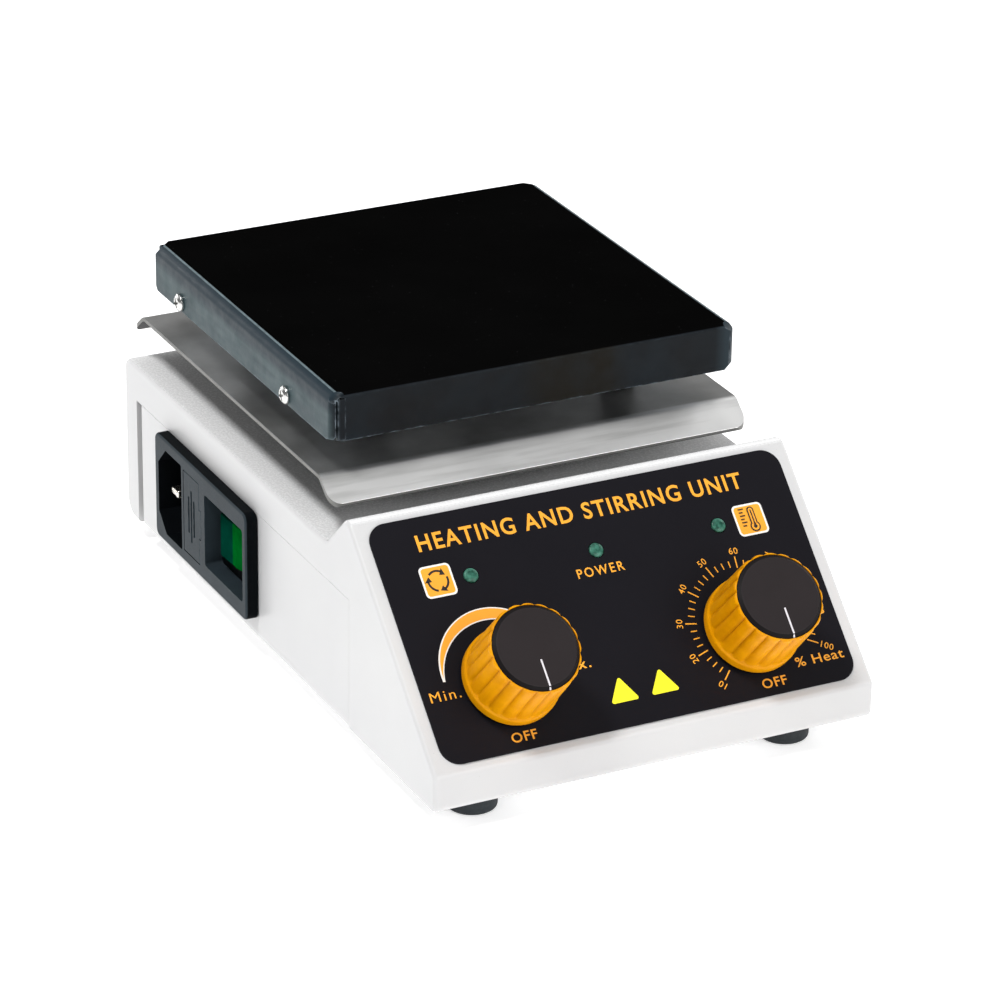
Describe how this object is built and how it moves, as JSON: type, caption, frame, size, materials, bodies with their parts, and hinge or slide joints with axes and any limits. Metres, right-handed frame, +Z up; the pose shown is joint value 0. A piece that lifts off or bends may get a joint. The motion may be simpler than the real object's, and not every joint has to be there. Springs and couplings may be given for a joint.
{
  "type": "magnetic stirrer",
  "caption": "Hot plate magnetic stirrer: wedge-shaped housing, square heated plate over a bent heat shield, control knobs on a sloped panel, fused mains inlet on the side.",
  "frame": {"origin": "on the bench under the feet, at the centre of the object's outline seen from above", "axes": "+X to the right of a person facing the control panel, +Y from the panel to the back, +Z up"},
  "size_m": [0.1236, 0.198, 0.087],
  "materials": {
    "powder_coat": "white powder coat, fine orange peel, satin",
    "galvanised_sheet": "satin rolled sheet",
    "screw_steel": "bright zinc plated",
    "chrome_screw": "polished",
    "aluminium": "machined",
    "brass": "turned",
    "plate_paint": "slate skirt and black top, satin",
    "label_film": "satin printed film",
    "knob_yellow": "moulded, semi gloss",
    "knob_cap": "satin",
    "module_plastic": "moulded, satin",
    "rocker_green": "translucent, gloss",
    "led_green": "unlit lens, gloss",
    "foot_rubber": "moulded",
    "ceramic": "steatite",
    "mica": "laminated",
    "fibre_pad": "felted fibre",
    "magnet_alloy": "sintered",
    "holder_plastic": "moulded",
    "board": "solder mask",
    "fuse_glass": "glass tube, metal caps",
    "regulator_case": "phenolic moulding"
  },
  "bodies": {
    "frame": {"housing": "powder_coat", "base_tray": "powder_coat", "foot_1": "foot_rubber", "foot_2": "foot_rubber", "foot_3": "foot_rubber", "foot_4": "foot_rubber", "base_screw_1": "screw_steel", "base_screw_2": "screw_steel", "base_screw_3": "screw_steel", "base_screw_4": "screw_steel", "front_label": "label_film", "led_stir": "led_green", "led_power": "led_green", "led_heat": "led_green", "speed_control": "galvanised_sheet", "speed_control_nut": "brass", "heat_control": "regulator_case", "heat_control_nut": "brass", "inlet_housing": "module_plastic", "inlet_pin_earth": "screw_steel", "inlet_pin_live": "screw_steel", "inlet_pin_neutral": "screw_steel", "heat_shield": "galvanised_sheet", "plate_tray": "galvanised_sheet", "motor_bracket": "galvanised_sheet", "pillar_screw_1": "screw_steel", "lower_spacer_1": "screw_steel", "upper_spacer_1": "ceramic", "plate_screw_1": "chrome_screw", "pillar_screw_2": "screw_steel", "lower_spacer_2": "screw_steel", "upper_spacer_2": "ceramic", "plate_screw_2": "chrome_screw", "pillar_screw_3": "screw_steel", "lower_spacer_3": "screw_steel", "upper_spacer_3": "ceramic", "plate_screw_3": "chrome_screw", "pillar_screw_4": "screw_steel", "lower_spacer_4": "screw_steel", "upper_spacer_4": "ceramic", "plate_screw_4": "chrome_screw", "plate_cover": "plate_paint", "heating_plate": "aluminium", "heater_element": "mica", "insulation_pad": "fibre_pad", "motor_body": "screw_steel", "control_board": "board"},
    "speed_control": {"speed_knob": "knob_yellow", "speed_knob_cap": "knob_cap", "speed_control_shaft": "aluminium"},
    "heat_control": {"heat_knob": "knob_yellow", "heat_knob_cap": "knob_cap", "heat_control_shaft": "aluminium"},
    "power_rocker": {"rocker_switch": "rocker_green"},
    "fuse_tray": {"fuse_drawer": "module_plastic", "fuse": "fuse_glass"},
    "rotor": {"motor_shaft": "screw_steel", "magnet_holder": "holder_plastic", "magnet_1": "magnet_alloy", "magnet_2": "magnet_alloy"}
  },
  "joints": [
    {"name": "speed_turn", "type": "hinge", "parent": "frame", "child": "speed_control", "pos_m": [-0.0318, -0.07638, 0.02954], "axis": [0, 0.6901, -0.7237], "range_deg": [0, 300]},
    {"name": "heat_turn", "type": "hinge", "parent": "frame", "child": "heat_control", "pos_m": [0.034, -0.07638, 0.02954], "axis": [0, 0.6901, -0.7237], "range_deg": [0, 300]},
    {"name": "power_switch", "type": "hinge", "parent": "frame", "child": "power_rocker", "pos_m": [-0.0546, 0.0253, 0.027], "axis": [0, 0, -1], "range_deg": [0, 20]},
    {"name": "fuse_pull", "type": "slide", "parent": "frame", "child": "fuse_tray", "axis": [-1, 0, 0], "range_m": [0, 0.022]},
    {"name": "rotor_spin", "type": "hinge", "parent": "frame", "child": "rotor", "pos_m": [0.0018, 0.0318, 0.054], "axis": [0, 0, 1], "continuous": true}
  ]
}
